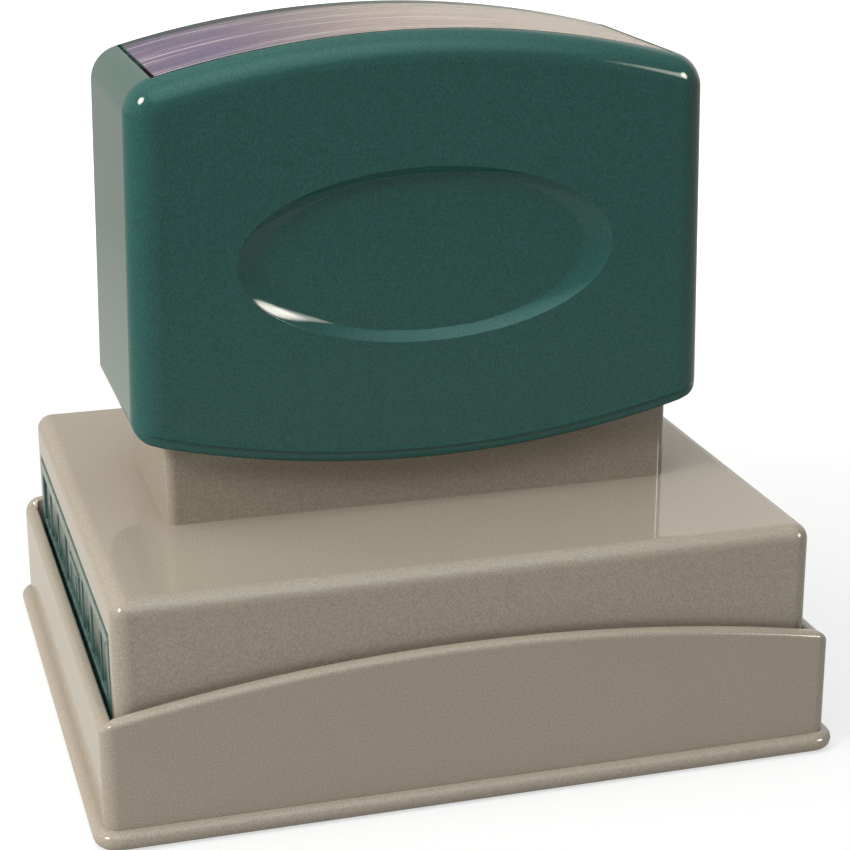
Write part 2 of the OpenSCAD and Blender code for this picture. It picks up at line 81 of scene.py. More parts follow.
# Dust cap
BEAD_R = 1.1 * MM
BEAD_END = math.radians(80)
BEAD_POINTS = 12
FLANGE_LIP = 1.2 * MM
FLANGE_CORNER_R = 2.9 * MM
CAP_INNER_R = 0.4 * MM
CAP_FLOOR_Z = 1.8 * MM
LEDGE_W = 2.0 * MM
CAP_END_Z = 14.25 * MM
CAP_LONG_Z = 14.85 * MM
CAP_RIM_R = 0.35 * MM
CAP_RIM_OUT_R = 0.8 * MM
ARCH_REACH = 39.0 * MM
ARCH_POINTS = 27

# Casing
CASE_TOP_Z = 28.0 * MM
CASE_CORNER_R = 2.0 * MM
CASE_EDGE_R = 1.9 * MM
CASE_ROOF = 1.8 * MM
CASE_INNER_R = 0.5 * MM
CASE_RIM_R = 0.3 * MM
CASE_BEVEL = 0.25 * MM
WINDOW_Y = 31.3 * MM
WINDOW_LOW_Z = 9.2 * MM
WINDOW_TOP_Z = 23.05 * MM
NECK_X = 31.25 * MM
NECK_Y = 13.1 * MM
NECK_CORNER_R = 1.2 * MM
NECK_FILLET = 0.02 * MM
NECK_RIM_R = 0.4 * MM
COLLAR_X = 14.9 * MM
COLLAR_Y = 7.9 * MM
COLLAR_TOP_Z = 38.0 * MM
PEG_R = 3.4 * MM
PEG_H = 2.5 * MM
PEG_EDGE_R = 0.4 * MM
SPRING_X = 22.1 * MM

# Grip
GRIP_FOOT_X = 35.0 * MM
GRIP_FOOT_Z = 39.25 * MM
GRIP_SHOULDER_Z = 79.35 * MM
GRIP_DRAFT = math.radians(1.1)
GRIP_EDGE_R = 3.5 * MM
GRIP_TOP_R = 4.2 * MM
GRIP_FOOT_R = 2.5 * MM
GRIP_MITRE_R = 0.2 * MM
GRIP_INNER_Y = 13.8 * MM
GRIP_TOP_WALL = 3.6 * MM
STRIP_H = 1.25 * MM
STRIP_STEP = 0.14 * MM
STRIP_R = 0.3 * MM
STRIP_RISE = 0.02 * MM
RIDGE_GAP = 0.06 * MM
RIDGE_W = 0.35 * MM
RIDGE_H = 0.06 * MM
OVAL_HALF_X = 22.6 * MM
OVAL_HALF_Z = 10.4 * MM
OVAL_Z = 59.05 * MM
OVAL_DEPTH = 1.0 * MM
OVAL_SLOPE_X = 3.6 * MM
OVAL_SLOPE_Z = 1.2 * MM
OVAL_LIP = 0.15 * MM
OVAL_LIP_END = math.radians(40)
OVAL_END_BOW = 0.5
OVAL_BOW = 0.25

# Index strip
COVER_GAP = 0.15 * MM
COVER_END_GAP = 0.45 * MM
COVER_SIDE_GAP = 0.25 * MM
COVER_SINK = 0.05 * MM
COVER_T = 1.0 * MM
COVER_EDGE_R = 0.12 * MM
LABEL_GAP = 0.05 * MM
LABEL_T = 0.2 * MM
LABEL_EDGE_R = 0.02 * MM

# Holder and the trim in its windows
HOLDER_X = 39.2 * MM
HOLDER_CORNER_R = 0.6 * MM
PLATE_Z = 16.8 * MM
PLATE_T = 2.0 * MM
PLATE_RIB_H = 3.6 * MM
PLATE_RIB_X = 21.0 * MM
PLATE_RIB_Y = 14.0 * MM
PLATE_RIB_CORNER_R = 0.1 * MM
TRIM_ROOT = 0.3 * MM
BORDER_LOW_Z = 12.5 * MM
BORDER_TOP_Z = 22.75 * MM
BORDER_Y = 31.0 * MM
BORDER_W = 1.8 * MM
BORDER_CORNER_R = 0.4 * MM
BORDER_INNER_R = 0.3 * MM
BORDER_OUT = 0.3 * MM
PANEL_OUT = 1.8 * MM
PANEL_EDGE_R = 0.05 * MM
RIB_PLACES = (-3, -2, -1, 1, 2, 3)
RIB_STEP = 7.75 * MM
RIB_W = 0.8 * MM
RIB_CORNER_R = 0.2 * MM
CATCH_HALF_Y = 4.5 * MM
CATCH_HALF_Z = 2.0 * MM
CATCH_CORNER_R = 0.8 * MM
CATCH_DOT_EDGE_R = 0.3 * MM

# Stem, yoke and screws
INK_R = 2.8 * MM
STEM_X = 13.0 * MM
STEM_Y = 6.0 * MM
STEM_CORNER_R = 0.6 * MM
STEM_FOOT_T = 2.0 * MM
STEM_FOOT_CORNER_R = 0.8 * MM
YOKE_T = 2.5 * MM
YOKE_CORNER_R = 3.0 * MM
YOKE_EDGE_R = 0.4 * MM
YOKE_PEG_ROOT = 0.5 * MM
SCREW_X = 8.6 * MM
SCREW_R = 1.3 * MM
SCREW_HEAD_R = 2.5 * MM
SCREW_HEAD_EDGE_R = 0.35 * MM
SCREW_SEAT_EDGE_R = 0.05 * MM
SLOT_ARM = 1.75 * MM
SLOT_HALF_W = 0.35 * MM
THREAD_PITCH = 0.5 * MM
THREAD_TIP_R = 0.3 * SCREW_R
THREAD_END_R = 0.8 * SCREW_R
THREAD_ROOT_R = 0.82 * SCREW_R

# Stopper of the ink channel
PLUG_HEAD_H = 1.2 * MM
PLUG_HEAD_EDGE_R = 0.4 * MM
PLUG_HEAD_BEVEL = 0.2 * MM
PLUG_DIMPLE = 0.35 * MM
PLUG_DIMPLE_RIM = 0.55
PLUG_DIMPLE_FLOOR = 0.45
PLUG_TIP = 0.6
PLUG_RIBS = 3
PLUG_RIB_OUT = 0.3 * MM
PLUG_RIB_H = 0.7 * MM
PLUG_RIB_STEP = 1.4 * MM
PLUG_FIRST_RIB = 1.0 * MM

# Felt, die and clamp ring
FELT_EDGE_R = 1.4 * MM
FELT_CORNER_R = 2.0 * MM
FELT_LEAST_R = 0.3 * MM
FELT_DRAW_IN = 0.35 * MM
FELT_STOP_X = 33.0 * MM
FELT_STOP_Y = 26.0 * MM
DIE_EDGE_Z = 9.3 * MM
DIE_BASE_Z = 7.7 * MM
DIE_CORNER_R = 0.5 * MM
BOSS_X = 35.3 * MM
BOSS_Y = 28.8 * MM
PRINT_EDGE_R = 0.08 * MM
PRINT_BORDER = 1.2 * MM
PRINT_INNER_R = 0.4 * MM
PRINT_GAP = 3.0 * MM
PRINT_ROWS = 6
PRINT_ROW_CORNER_R = 0.3 * MM
SHORT_ROW = 0.7

# Return springs
SPRING_R = 4.4 * MM
SPRING_TURNS = 8
SPRING_END_CLOSE = 0.035
WIRE_R = 0.5 * MM
WIRE_SIDES = 12

# Steps of a quarter turn: on corners, and on edges from the grip's down to small ones
ARC_STEPS = 6
GRIP_EDGE_STEPS = 17
CASE_EDGE_STEPS = 8
FILLET_STEPS = 5
RIM_STEPS = 4
SMALL_STEPS = 3

# Points along longer lines
TURN_STEPS = 48
COIL_STEPS = 32
CORNER_POINTS = 15
CROWN_POINTS = 61
BELLY_POINTS = 59
RIDGE_POINTS = 5
FACE_POINTS = 7
OVAL_POINTS = 144
OVAL_LIP_POINTS = 6
OVAL_WALL_POINTS = 12
INDEX_POINTS = 65
FELT_POINTS_X = 23
FELT_POINTS_Y = 19

# Meshes
MERGE = 1e-7
SHARP = math.radians(32)
BEVEL_ANGLE = math.radians(50)
BEVEL_STEPS = 3
NORMAL_WEIGHT = 100


def along(start, end, count):
    """Evenly spaced values from start to end, both included."""
    return [start + (end - start) * i / (count - 1) for i in range(count)]


def smooth(share):
    """Eased share between 0 and 1."""
    share = min(max(share, 0.0), 1.0)
    return share * share * (3 - 2 * share)


def arc_radius(half, rise):
    """Radius of an arc with this rise over this half chord."""
    return (half * half + rise * rise) / (2 * rise)


def arc_drop(r, x):
    """How far an arc of radius r has dropped at distance x from its top."""
    return r - math.sqrt(r * r - x * x)


def quarter(steps):
    """Angles from 0 to a right angle."""
    return along(0.0, math.pi / 2, steps + 1)


def quarter_round(r, steps):
    """(inset, drop) over a round edge, from the side below it to the top."""
    return [(r * (1 - math.cos(a)), r * (1 - math.sin(a))) for a in quarter(steps)]


def round_rect(half_x, half_y, r, x_stops=(), y_stops=(), x=0.0, y=0.0):
    """Points (x, y) round a rectangle with round corners, from its right side on; stops add points."""
    sides = [
        [(half_x, stop) for stop in y_stops],
        [(stop, half_y) for stop in reversed(x_stops)],
        [(-half_x, stop) for stop in reversed(y_stops)],
        [(stop, -half_y) for stop in x_stops],
    ]
    corners = [(1, 1), (-1, 1), (-1, -1), (1, -1)]
    points = []
    for turn, (side, (sign_x, sign_y)) in enumerate(zip(sides, corners)):
        points += side
        centre_x = sign_x * (half_x - r)
        centre_y = sign_y * (half_y - r)
        for angle in quarter(ARC_STEPS):
            angle += turn * math.pi / 2
            points.append((centre_x + r * math.cos(angle), centre_y + r * math.sin(angle)))
    return [(x + px, y + py) for px, py in points]


def circle(r, x=0.0, steps=TURN_STEPS):
    """Points (x, y) round a circle."""
    angles = [2 * math.pi * i / steps for i in range(steps)]
    return [(x + r * math.cos(a), r * math.sin(a)) for a in angles]


def rect(half_x, half_y, r, x=0.0, y=0.0):
    """A rounded rectangle as a function of how far it is drawn in."""
    return lambda inset: round_rect(half_x - inset, half_y - inset, max(r - inset, LEAST_R), x=x, y=y)


def disc(r, x=0.0):
    """A circle as a function of how far it is drawn in."""
    return lambda inset: circle(r - inset, x)


def cross(arm, half_w):
    """A cross as a function of how far it is drawn in."""

    def points(inset):
        a = arm - inset
        w = half_w - inset
        upper = [(a, -w), (a, w), (w, w), (w, a), (-w, a), (-w, w)]
        return upper + [(-a, w), (-a, -w), (-w, -w), (-w, -a), (w, -a), (w, -w)]

    return points


def flat_ring(bm, points, z):
    """A ring of vertices at one height."""
    return [bm.verts.new((x, y, z)) for x, y in points]


def join_rings(bm, first, second, closed=True, skip=()):
    """Quads between two rings of equal count."""
    count = len(first)
    for i in range(count if closed else count - 1):
        if i not in skip:
            j = (i + 1) % count
            bm.faces.new((first[i], first[j], second[j], second[i]))


def join_all(bm, rings):
    """Quads between each ring and the next."""
    for first, second in zip(rings, rings[1:]):
        join_rings(bm, first, second)


def closed_skin(bm, rings):
    """Quads between each ring and the next, and a face at both ends."""
    join_all(bm, rings)
    bm.faces.new(rings[0])
    bm.faces.new(rings[-1])


def fill(bm, *loops):
    """Flat face inside the first loop, with the other loops as holes."""
    edges = []
    for loop in loops:
        for a, b in zip(loop, loop[1:] + loop[:1]):
            edges.append(bm.edges.get((a, b)) or bm.edges.new((a, b)))
    bmesh.ops.triangle_fill(bm, edges=edges, use_beauty=True)


def wall_steps(low, high, r, steps=SMALL_STEPS):
    """(inset, z) up a wall whose lower and upper edges are rounded."""
    lower = [(drop, low + inset) for inset, drop in quarter_round(r, steps)]
    upper = [(inset, high - drop) for inset, drop in quarter_round(r, steps)]
    return lower + upper


def slab(bm, shape, low, high, edge_r, holes=()):
    """Upright slab with rounded edges and through holes; returns its vertices."""
    before = set(bm.verts)
    walls = []
    for outline, sign in [(shape, 1)] + [(hole, -1) for hole in holes]:
        rings = [flat_ring(bm, outline(sign * inset), z) for inset, z in wall_steps(low, high, edge_r)]
        join_all(bm, rings)
        walls.append(rings)
    fill(bm, *[rings[0] for rings in walls])
    fill(bm, *[rings[-1] for rings in walls])
    return [v for v in bm.verts if v not in before]


def lathe(bm, profile, x=0.0):
    """Solid of revolution from (radius, z) pairs, closed at both ends."""
    closed_skin(bm, [flat_ring(bm, circle(r, x), z) for r, z in profile])


def tube(bm, centres, outs, r, sides):
    """Tube through these centres, whose rings stand between each out direction and +Z."""
    up = Vector((0, 0, 1))
    rings = []
    for centre, out in zip(centres, outs):
        ring = []
        for i in range(sides):
            angle = 2 * math.pi * i / sides
            ring.append(bm.verts.new(centre + r * (out * math.cos(angle) + up * math.sin(angle))))
        rings.append(ring)
    closed_skin(bm, rings)


def piece(name, bm, body, node, material, bevel=0.0):
    """Makes the mesh an object with its material, under its body's empty in place of the hidden node; a
    bevel width rounds its sharp edges.
    """
    bmesh.ops.remove_doubles(bm, verts=bm.verts, dist=MERGE)
    bmesh.ops.recalc_face_normals(bm, faces=bm.faces)
    mesh = bpy.data.meshes.new(name)
    bm.to_mesh(mesh)
    bm.free()
    mesh.polygons.foreach_set("use_smooth", [True] * len(mesh.polygons))
    mesh.materials.append(material)
    made = bpy.data.objects.new(name, mesh)
    bpy.context.scene.collection.objects.link(made)
    if bevel:
        edges = made.modifiers.new("edges", "BEVEL")
        edges.width = bevel
        edges.segments = BEVEL_STEPS
        edges.limit_method = "ANGLE"
        edges.angle_limit = BEVEL_ANGLE
    else:
        mesh.set_sharp_from_angle(angle=SHARP)
    normals = made.modifiers.new("normals", "WEIGHTED_NORMAL")
    normals.keep_sharp = True
    normals.weight = NORMAL_WEIGHT
    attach(made, body)
    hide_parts(node)
    return made


# White, and the span that most of a noise's values lie in
WHITE = (1.0, 1.0, 1.0, 1.0)
NOISE_SPAN = (0.3, 0.7)


def tone(r, g, b):
    """Linear colour of an sRGB colour given from 0 to 255."""
    channels = [c / 255 for c in (r, g, b)]
    return tuple(c / 12.92 if c <= 0.04045 else ((c + 0.055) / 1.055) ** 2.4 for c in channels) + (1.0,)


def shade(colour, level):
    """A colour times a level."""
    return tuple(level * c for c in colour[:3]) + (1.0,)


def new_material(name, uniform):
    """A material whose Principled shader has these uniform values."""
    material = bpy.data.materials.new(name)
    material.use_nodes = True
    shader = material.node_tree.nodes["Principled BSDF"]
    for socket, value in uniform.items():
        shader.inputs[socket].default_value = value
    return material


def add_node(owner, kind, settings=(), values=()):
    """A node with some settings and input values."""
    made = owner.node_tree.nodes.new(kind)
    for key, value in dict(settings).items():
        setattr(made, key, value)
    for key, value in dict(values).items():
        made.inputs[key].default_value = value
    return made


def link(owner, source, target):
    """A link from an output socket to an input socket."""
    owner.node_tree.links.new(source, target)


def feed(material, source, name):
    """A link to one of the Principled shader's sockets."""
    link(material, source, material.node_tree.nodes["Principled BSDF"].inputs[name])


def own_place(material):
    """The object's own coordinates."""
    return add_node(material, "ShaderNodeTexCoord").outputs["Object"]


def own_axis(material, axis):
    """One of the object's own coordinates."""
    split = add_node(material, "ShaderNodeSeparateXYZ")
    link(material, own_place(material), split.inputs["Vector"])
    return split.outputs[axis]


def noise(material, grain, detail, stretch=(1, 1, 1)):
    """Noise of about this grain in metres, over the object's own coordinates."""
    scale = add_node(material, "ShaderNodeMapping", values={"Scale": stretch})
    made = add_node(material, "ShaderNodeTexNoise", values={"Scale": 1 / grain, "Detail": detail})
    link(material, own_place(material), scale.inputs["Vector"])
    link(material, scale.outputs["Vector"], made.inputs["Vector"])
    return made.outputs["Fac"]


def spread(owner, value, span, out=(0, 1), ease="LINEAR"):
    """A value's span drawn out to another span."""
    made = add_node(owner, "ShaderNodeMapRange", {"interpolation_type": ease}, {
        "From Min": span[0], "From Max": span[1], "To Min": out[0], "To Max": out[1]})
    link(owner, value, made.inputs["Value"])
    return made.outputs["Result"]


def arithmetic(owner, operation, *sockets):
    """Result of an operation on one or two sockets."""
    made = add_node(owner, "ShaderNodeMath", {"operation": operation})
    for source, target in zip(sockets, made.inputs):
        link(owner, source, target)
    return made.outputs[0]


def blend(owner, share, first, second, mode="MIX"):
    """Colour between two colours, each a fixed colour or a socket."""
    made = add_node(owner, "ShaderNodeMix", {"data_type": "RGBA", "blend_type": mode})
    link(owner, share, made.inputs[0])
    for socket, colour in ((made.inputs[6], first), (made.inputs[7], second)):
        if isinstance(colour, tuple):
            socket.default_value = colour
        else:
            link(owner, colour, socket)
    return made.outputs[2]


def surface(material, colour, marks, rough, height, span=NOISE_SPAN, relief=None):
    """Feeds the shader a colour, roughness by the marks, and a relief of the marks or of its own."""
    feed(material, colour, "Base Color")
    feed(material, spread(material, marks, span, rough), "Roughness")
    bump = add_node(material, "ShaderNodeBump", values={"Distance": height, "Strength": 1.0})
    link(material, marks if relief is None else relief, bump.inputs["Height"])
    feed(material, bump.outputs["Normal"], "Normal")
    return material


def moulded(name, dark, light, rough, gloss, speckle=0.12, height=0.001 * MM):
    """Moulded plastic or rubber: clouds and specks in its colour, uneven gloss and a faint relief."""
    material = new_material(name, {"Specular IOR Level": gloss})
    clouds = noise(material, grain=14 * MM, detail=1)
    base = blend(material, clouds, dark, light)
    specks = spread(material, noise(material, grain=0.2 * MM, detail=1), NOISE_SPAN)
    colour = blend(material, specks, base, shade(dark, 1 - speckle))
    wear = noise(material, grain=5 * MM, detail=1)
    relief = noise(material, grain=0.6 * MM, detail=1)
    uneven = (0.7 * rough, 1.3 * rough)
    return surface(material, colour, wear, uneven, height, span=(0, 1), relief=relief)


def steel_wire():
    """Bright steel with fine drawing marks."""
    material = new_material("steel", {"Metallic": 1.0})
    marks = noise(material, grain=0.4 * MM, detail=3, stretch=(1, 1, 0.15))
    colour = blend(material, marks, tone(176, 179, 184), tone(214, 216, 220))
    return surface(material, colour, marks, rough=(0.2, 0.36), height=0.004 * MM)


def inked_felt():
    """Dark felt full of ink, with short fibres."""
    material = new_material("felt", {"Specular IOR Level": 0.2, "Sheen Weight": 0.3})
    fibres = noise(material, grain=0.3 * MM, detail=5, stretch=(1, 1, 3))
    colour = blend(material, fibres, tone(24, 28, 36), tone(60, 66, 78))
    return surface(material, colour, fibres, rough=(0.8, 0.95), height=0.12 * MM)


def tinted_plastic():
    """Teal with upright flow streaks, deep in the panels; what stands out furthest (border and catch
    dots) is paler, partly its own tone and partly painted highlight, and this paleness fades out
    downwards as painted shade on the lower border.
    """
    material = new_material("green_clear", {"Specular IOR Level": 0.4})
    streaks = noise(material, grain=1.4 * MM, detail=3, stretch=(1, 1, 0.1))
    deep = blend(material, spread(material, streaks, NOISE_SPAN), tone(36, 60, 58), tone(62, 95, 92))
    outwards = arithmetic(material, "ABSOLUTE", own_axis(material, "X"))
    panel_x = HOLDER_X + PANEL_OUT
    # Paler by how far a part stands out: partly the trim's own tone, partly a painted highlight
    border = spread(material, outwards, (panel_x, panel_x + BORDER_OUT), (0, 0.3))
    # Painted shade: the paleness fades out towards the bottom of the border, where shade falls
    upper = spread(material, own_axis(material, "Z"), (BORDER_LOW_Z + BORDER_W, BORDER_TOP_Z))
    pale_and_painted_light = arithmetic(material, "MULTIPLY", border, upper)
    colour = blend(material, pale_and_painted_light, deep, tone(106, 132, 126))
    return surface(material, colour, streaks, rough=(0.08, 0.22), height=0.05 * MM)


def label_paper():
    """Lilac paper that pales to a warm grey on the right, with whitish lengthwise streaks painted in as
    highlights from the clear cover.
    """
    material = new_material("label_paper", {"Specular IOR Level": 0.3})
    to_right = spread(material, own_axis(material, "X"), (0.65 * label_low.x, 0.85 * label_high.x))
    ground = blend(material, to_right, tone(60, 29, 108), tone(248, 222, 188))
    # Painted highlight: whitish lengthwise streaks stand in for reflections in the clear cover; the fine
    # noise also varies the roughness
    streaks = noise(material, grain=0.6 * MM, detail=4, stretch=(0.02, 1, 0))
    highlight_bands = noise(material, grain=2.4 * MM, detail=2, stretch=(0.05, 1, 0))
    fine = spread(material, streaks, (0.5, 0.58))
    broad_highlight = spread(material, highlight_bands, (0.44, 0.58))
    pale_and_painted_light = arithmetic(material, "MULTIPLY", fine, broad_highlight)
    # Painted highlight: the paper turns nearly white along the streaks
    colour = blend(material, pale_and_painted_light, ground, tone(255, 246, 236))
    fibres = noise(material, grain=0.12 * MM, detail=4)
    return surface(material, colour, streaks, rough=(0.5, 0.65), height=0.004 * MM, relief=fibres)


def clear_plastic():
    """Clear cover with fine lengthwise scuffs."""
    material = new_material("clear_plastic", {"Transmission Weight": 1.0, "IOR": 1.12})
    scuffs = noise(material, grain=0.5 * MM, detail=4, stretch=(0.02, 1, 0))
    colour = blend(material, scuffs, tone(242, 240, 242), tone(252, 252, 252))
    return surface(material, colour, scuffs, rough=(0.02, 0.1), height=0.01 * MM, span=(0.45, 0.7))


beige = moulded("beige_plastic", tone(157, 146, 133), tone(162, 151, 137),
                rough=0.035, gloss=0.5, speckle=0.22)
green = moulded("green_gloss", tone(35, 88, 84), tone(37, 91, 87),
                rough=0.06, gloss=0.4, speckle=0.34)
pale_plastic = moulded("pale_plastic", tone(214, 208, 194), tone(224, 219, 206),
                       rough=0.35, gloss=0.5)
dark_plastic = moulded("dark_plastic", tone(44, 46, 47), tone(56, 58, 59),
                       rough=0.4, gloss=0.45)
black_rubber = moulded("black_rubber", tone(34, 34, 35), tone(44, 44, 45),
                       rough=0.62, gloss=0.35, speckle=0.2, height=0.01 * MM)
die_rubber = moulded("die_rubber", tone(140, 58, 52), tone(156, 70, 62),
                     rough=0.6, gloss=0.35, speckle=0.2, height=0.012 * MM)
green_clear = tinted_plastic()
steel = steel_wire()
felt = inked_felt()
paper = label_paper()
clear = clear_plastic()


def dust_cap():
    """Tray with a half-round foot flange, level end walls and arched long walls."""
    bm = bmesh.new()
    arch_r = arc_radius(cap_high.x - FLANGE_LIP, cap_high.z - CAP_LONG_Z)
    stops = along(-ARCH_REACH, ARCH_REACH, ARCH_POINTS)
    inner = FLANGE_LIP + WALL

    def ring(inset, height, on_rim=False):
        """Ring at one height, or at a height over the rim."""
        r = max(FLANGE_CORNER_R - inset, CAP_INNER_R)
        half_y = cap_high.y - inset
        verts = []
        for x, y in round_rect(cap_high.x - inset, half_y, r, stops):
            on_long = smooth((abs(y) - (half_y - r)) / r)
            top = CAP_END_Z + (cap_high.z - arc_drop(arch_r, x) - CAP_END_Z) * on_long
            verts.append(bm.verts.new((x, y, height + top if on_rim else height)))
        return verts

    bead_angles = along(-math.pi / 2, BEAD_END, BEAD_POINTS)
    rings = [ring(BEAD_R * (1 - math.cos(a)), BEAD_R * (1 + math.sin(a))) for a in bead_angles]
    rings.append(ring(FLANGE_LIP, 2 * BEAD_R))
    for inset, drop in quarter_round(CAP_RIM_OUT_R, RIM_STEPS):
        rings.append(ring(FLANGE_LIP + inset, -drop, True))
    for inset, drop in reversed(quarter_round(CAP_RIM_R, RIM_STEPS)):
        rings.append(ring(inner - inset, -drop, True))
    rings += [ring(inner, case_low.z), ring(inner + LEDGE_W, case_low.z)]
    rings.append(ring(inner + LEDGE_W, CAP_FLOOR_Z))
    closed_skin(bm, rings)
    piece("dust_cap", bm, "cap", "base_cap", beige)


def stamp_casing():
    """Box and neck in one moulding, with a window in each end, a stem collar and spring pegs."""
    bm = bmesh.new()
    neck_stop = NECK_Y / 2
    collar_stop = COLLAR_Y / 2
    roof_z = CASE_TOP_Z - CASE_ROOF

    # Faces inside the neck: its own, then the collar's outer and inner one
    faces = [
        (NECK_X - WALL, NECK_Y - WALL, neck_stop, (case_high.z, CASE_TOP_Z)),
        (COLLAR_X, COLLAR_Y, collar_stop, (CASE_TOP_Z, COLLAR_TOP_Z)),
        (COLLAR_X - WALL, COLLAR_Y - WALL, collar_stop, (COLLAR_TOP_Z, roof_z)),
    ]

    def ring(half_x, half_y, r, stop, z):
        return flat_ring(bm, round_rect(half_x, half_y, r, (), (-stop, stop)), z)

    def box_ring(inset, z):
        return ring(case_high.x - inset, case_high.y - inset, CASE_CORNER_R - inset, WINDOW_Y, z)

    def inside_ring(z):
        return ring(case_high.x - WALL, case_high.y - WALL, CASE_INNER_R, WINDOW_Y, z)

    def neck_ring(grow, z):
        return ring(NECK_X + grow, NECK_Y + grow, NECK_CORNER_R + grow, neck_stop, z)

    levels = (WINDOW_LOW_Z, WINDOW_TOP_Z)
    out_low, out_high = [box_ring(0, z) for z in levels]
    in_high, in_low = [inside_ring(z) for z in reversed(levels)]
    upper = [out_high]
    for inset, drop in quarter_round(CASE_EDGE_R, CASE_EDGE_STEPS):
        upper.append(box_ring(inset, CASE_TOP_Z - drop))
    for inset, drop in quarter_round(NECK_FILLET, FILLET_STEPS):
        upper.append(neck_ring(drop, CASE_TOP_Z + inset))
    for inset, drop in quarter_round(NECK_RIM_R, RIM_STEPS):
        upper.append(neck_ring(-inset, case_high.z - drop))
    for half_x, half_y, stop, heights in faces:
        upper += [ring(half_x, half_y, CASE_INNER_R, stop, z) for z in heights]
    upper += [inside_ring(roof_z), in_high]
    join_all(bm, upper)
    lower = [in_low, inside_ring(case_low.z), box_ring(CASE_RIM_R, case_low.z)]
    lower += [box_ring(0, case_low.z + CASE_RIM_R), out_low]
    join_all(bm, lower)

    # The windows lie between the first two points of the right and of the left side
    left_side = 2 + 2 * (ARC_STEPS + 1)
    join_rings(bm, out_low, out_high, skip=(0, left_side))
    join_rings(bm, in_high, in_low, skip=(0, left_side))
    for i in (0, left_side):
        outer = [out_low[i], out_low[i + 1], out_high[i + 1], out_high[i]]
        jamb = [in_low[i], in_low[i + 1], in_high[i + 1], in_high[i]]
        join_rings(bm, outer, jamb)

    peg_top = CASE_TOP_Z + PEG_H
    crest = [(PEG_R - inset, peg_top - drop) for inset, drop in quarter_round(PEG_EDGE_R, SMALL_STEPS)]
    for x in (-SPRING_X, SPRING_X):
        lathe(bm, [(PEG_R, CASE_TOP_Z - ROOT)] + crest, x)
    piece("stamp_casing", bm, "casing", "casing", beige, CASE_BEVEL)


# Arcs of the grip's crown and belly, seen from the front: radii and heights of the centres
crown_top_z = cover_high.z + COVER_SINK
crown_r = arc_radius(GRIP_FOOT_X, crown_top_z - GRIP_SHOULDER_Z)
crown_z = crown_top_z - crown_r
belly_r = arc_radius(GRIP_FOOT_X, GRIP_FOOT_Z - grip_low.z)
belly_z = grip_low.z + belly_r


def crown_height(r, x):
    """Height of an arc about the crown's axis."""
    return crown_z + math.sqrt(r * r - x * x)


def corner_centre(r, inset, arch_r, arch_z, side):
    """Centre of a round corner that touches the grip's right end and an arch, drawn in by the inset."""
    out = Vector((math.cos(GRIP_DRAFT), math.sin(GRIP_DRAFT)))
    up = Vector((-out.y, out.x))
    start = Vector((GRIP_FOOT_X, GRIP_FOOT_Z)) - (r + inset) * out
    offset = start - Vector((0, arch_z))
    run = offset.dot(up)
    reach = arch_r - inset - r
    return start + up * (side * math.sqrt(run * run - offset.length_squared + reach * reach) - run)


def round_corner(r, centre, first, last):
    """Points (x, z) on a corner's arc, from one angle to the other."""
    angles = along(first, last, CORNER_POINTS)
    return [(centre.x + r * math.cos(angle), centre.y + r * math.sin(angle)) for angle in angles]


def grip_outline(inset):
    """Points (x, z) round the grip's front view, drawn in by the inset, from its right foot on."""
    foot_r = max(GRIP_FOOT_R - inset, GRIP_MITRE_R)
    top_r = max(GRIP_TOP_R - inset, GRIP_MITRE_R)
    foot = corner_centre(foot_r, inset, belly_r, belly_z, -1)
    shoulder = corner_centre(top_r, inset, crown_r, crown_z, 1)
    foot_angle = math.atan2(foot.y - belly_z, foot.x)
    shoulder_angle = math.atan2(shoulder.y - crown_z, shoulder.x)
    right = round_corner(foot_r, foot, foot_angle, GRIP_DRAFT)
    right += round_corner(top_r, shoulder, GRIP_DRAFT, shoulder_angle)
    left = [(-x, z) for x, z in reversed(right)]
    recess_x = cover_high.x + COVER_GAP
    between = (recess_x + crown_r * math.cos(shoulder_angle)) / 2
    shrink = 1 - inset / crown_r
    crown = []
    for x in [between] + along(recess_x, -recess_x, CROWN_POINTS) + [-between]:
        crown.append((x * shrink, crown_z + (crown_height(crown_r, x) - crown_z) * shrink))
    low_r = belly_r - inset
    belly = []
    for x in along(-right[0][0], right[0][0], BELLY_POINTS + 2)[1:-1]:
        belly.append((x, belly_z - math.sqrt(low_r * low_r - x * x)))
    return right + crown + left + belly


def grip_parts():
    """Which part of the grip's outline each of its points is on."""
    side = ["foot"] * CORNER_POINTS + ["side"] * CORNER_POINTS
    crown = ["side"] + ["recess"] * CROWN_POINTS + ["side"]
    return side + crown + side[::-1] + ["belly"] * BELLY_POINTS


def lower_shares(parts):
    """Each outline point's share in the grip's lower edge, which fades out up the foot corners."""
    corner = [1 - smooth(i / (CORNER_POINTS - 1)) for i in range(CORNER_POINTS)]
    shares = [1.0 if part == "belly" else 0.0 for part in parts]
    shares[:CORNER_POINTS] = corner
    shares[-BELLY_POINTS - CORNER_POINTS:-BELLY_POINTS] = reversed(corner)
    return shares


def upright_drop(x, z):
    """How far the grip's upright edge has drawn back from its face at a place (x, z)."""
    inside = (GRIP_FOOT_X - abs(x)) * math.cos(GRIP_DRAFT) - (z - GRIP_FOOT_Z) * math.sin(GRIP_DRAFT)
    return arc_drop(GRIP_EDGE_R, min(max(GRIP_EDGE_R - inside, 0.0), GRIP_EDGE_R))


